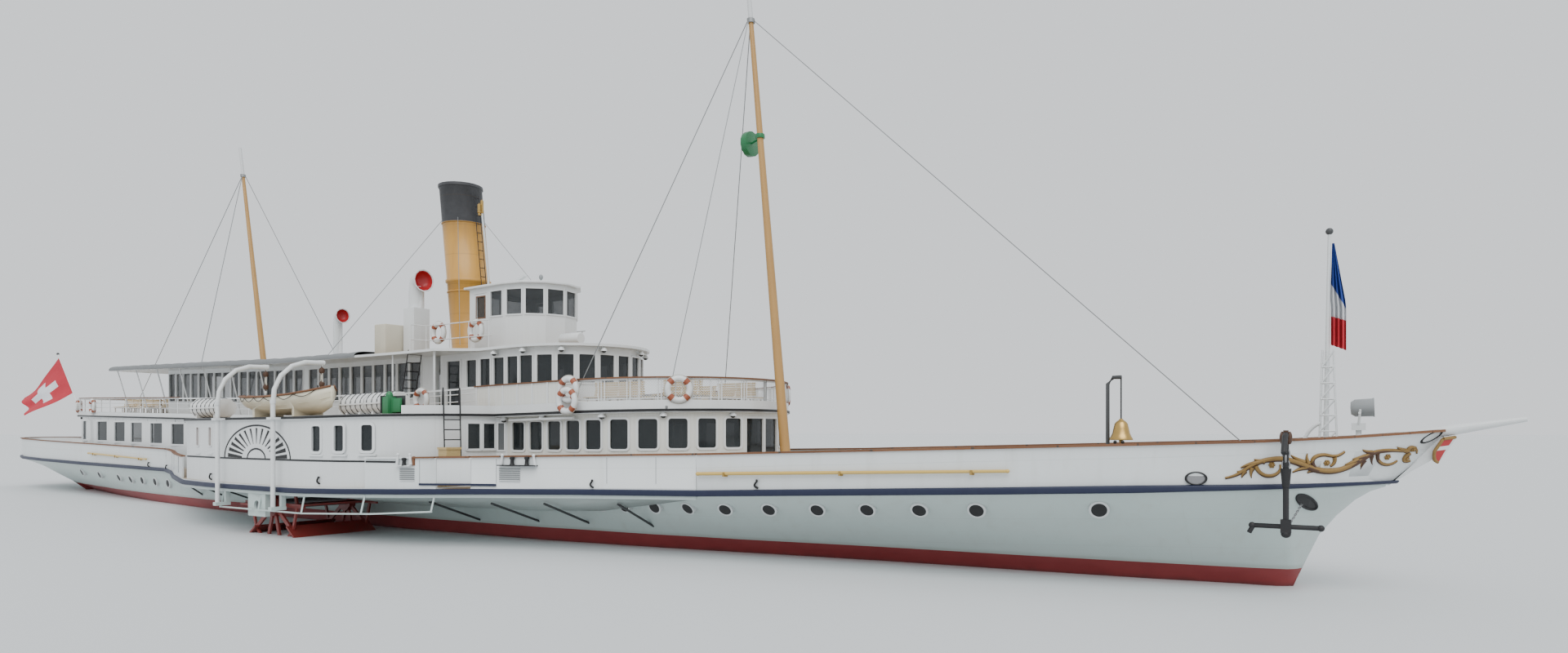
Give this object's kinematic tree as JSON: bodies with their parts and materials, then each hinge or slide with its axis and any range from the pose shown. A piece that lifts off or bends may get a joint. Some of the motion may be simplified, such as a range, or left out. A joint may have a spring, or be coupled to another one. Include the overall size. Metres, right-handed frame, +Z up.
{
  "type": "1:2 scale model paddle steamer",
  "caption": "Half-size model of a side-wheel steamer: decked hull, paddle boxes with turning wheels, saloons, glazed shelter, wheelhouse, raked funnel, masts, davits and rudder.",
  "frame": {"origin": "at the waterline, amidships on the centre line under the paddle shaft", "axes": "+X toward the bow, +Y to port, +Z up"},
  "size_m": [35.064, 7.46, 9.01],
  "materials": {
    "white_paint": "gloss white",
    "hull_paint": "pale mint grey topsides, navy belt, dark red below",
    "navy_paint": "gloss navy blue",
    "red_paint": "dark red",
    "ochre_paint": "ochre with a black top",
    "grey_paint": "mid grey",
    "black_paint": "black",
    "deck_wood": "planked",
    "dark_wood": "varnished",
    "mast_paint": "ochre",
    "steel": "forged",
    "boiler_iron": "dark",
    "brass": "polished",
    "raft_plastic": "white moulded canisters",
    "wire_rope": "galvanised wire rope",
    "cover_cloth": "cream canvas",
    "flag_cloth": "red flag cloth",
    "green_paint": "gloss green"
  },
  "bodies": {
    "ship": {"hull": "hull_paint", "main_deck_aft": "deck_wood", "main_deck_middle": "deck_wood", "main_deck_fore": "deck_wood", "sponson_starboard": "white_paint", "sponson_port": "white_paint", "rubbing_strake": "navy_paint", "paddle_box_starboard": "white_paint", "paddle_box_port": "white_paint", "engine": "grey_paint", "boiler": "boiler_iron", "fore_saloon": "white_paint", "aft_saloon": "white_paint", "promenade_deck": "deck_wood", "funnel_casing": "white_paint", "aft_railing": "white_paint", "fore_railing": "white_paint", "upper_saloon": "white_paint", "glazed_shelter": "white_paint", "awning_deck": "grey_paint", "bridge_deck": "deck_wood", "wheelhouse": "white_paint", "wheelhouse_roof": "white_paint", "funnel": "ochre_paint", "steam_pipe": "ochre_paint", "big_cowl": "white_paint", "aft_cowl": "white_paint", "bridge_locker": "cover_cloth", "fore_mast": "mast_paint", "main_mast": "mast_paint", "signal_ball": "green_paint", "fore_stays": "wire_rope", "main_stays": "wire_rope", "lifeboat_starboard": "white_paint", "lifeboat_port": "white_paint", "rafts_fore_starboard": "raft_plastic", "raft_aft_starboard": "raft_plastic", "rafts_fore_port": "raft_plastic", "raft_aft_port": "raft_plastic", "side_lamp_starboard": "green_paint", "side_lamp_port": "red_paint", "bowsprit": "white_paint", "jackstaff": "white_paint", "ensign_staff": "dark_wood", "ensign": "flag_cloth", "jack_flag": "flag_cloth", "anchor": "black_paint", "bell_post": "brass"},
    "paddle_wheels": {"paddle_shaft": "steel", "paddle_wheel_starboard": "red_paint", "paddle_wheel_port": "red_paint"},
    "rudder": {"rudder": "red_paint"},
    "gate_starboard": {"gangway_gate_starboard": "white_paint"},
    "gate_port": {"gangway_gate_port": "white_paint"},
    "door_starboard": {"wheelhouse_door_starboard": "dark_wood"},
    "door_port": {"wheelhouse_door_port": "dark_wood"},
    "davit_aft_starboard": {"davit_aft_starboard": "white_paint"},
    "davit_aft_port": {"davit_aft_port": "white_paint"},
    "davit_fore_starboard": {"davit_fore_starboard": "white_paint"},
    "davit_fore_port": {"davit_fore_port": "white_paint"}
  },
  "joints": [
    {"name": "paddle_turn", "type": "hinge", "parent": "ship", "child": "paddle_wheels", "pos_m": [0, 0, 0.46], "axis": [0, 1, 0], "continuous": true},
    {"name": "rudder_turn", "type": "hinge", "parent": "ship", "child": "rudder", "pos_m": [-15.225, 0, -0.35], "axis": [0, 0, 1], "range_deg": [-35, 35]},
    {"name": "gate_swing_starboard", "type": "hinge", "parent": "ship", "child": "gate_starboard", "pos_m": [3.9797, -2.781, 1], "axis": [0, 0, -1], "range_deg": [0, 90]},
    {"name": "door_swing_starboard", "type": "hinge", "parent": "ship", "child": "door_starboard", "pos_m": [1.31, -0.675, 3.4], "axis": [0, 0, -1], "range_deg": [0, 100]},
    {"name": "davit_swing_aft_starboard", "type": "hinge", "parent": "ship", "child": "davit_aft_starboard", "pos_m": [-0.95, -3.67, 1.25], "axis": [0, 0, 1], "range_deg": [0, 160]},
    {"name": "davit_swing_fore_starboard", "type": "hinge", "parent": "ship", "child": "davit_fore_starboard", "pos_m": [0.68, -3.67, 1.25], "axis": [0, 0, -1], "range_deg": [0, 160]},
    {"name": "gate_swing_port", "type": "hinge", "parent": "ship", "child": "gate_port", "pos_m": [3.9797, 2.781, 1], "axis": [0, 0, 1], "range_deg": [0, 90]},
    {"name": "door_swing_port", "type": "hinge", "parent": "ship", "child": "door_port", "pos_m": [1.31, 0.675, 3.4], "axis": [0, 0, 1], "range_deg": [0, 100]},
    {"name": "davit_swing_aft_port", "type": "hinge", "parent": "ship", "child": "davit_aft_port", "pos_m": [-0.95, 3.67, 1.25], "axis": [0, 0, -1], "range_deg": [0, 160]},
    {"name": "davit_swing_fore_port", "type": "hinge", "parent": "ship", "child": "davit_fore_port", "pos_m": [0.68, 3.67, 1.25], "axis": [0, 0, 1], "range_deg": [0, 160]}
  ]
}
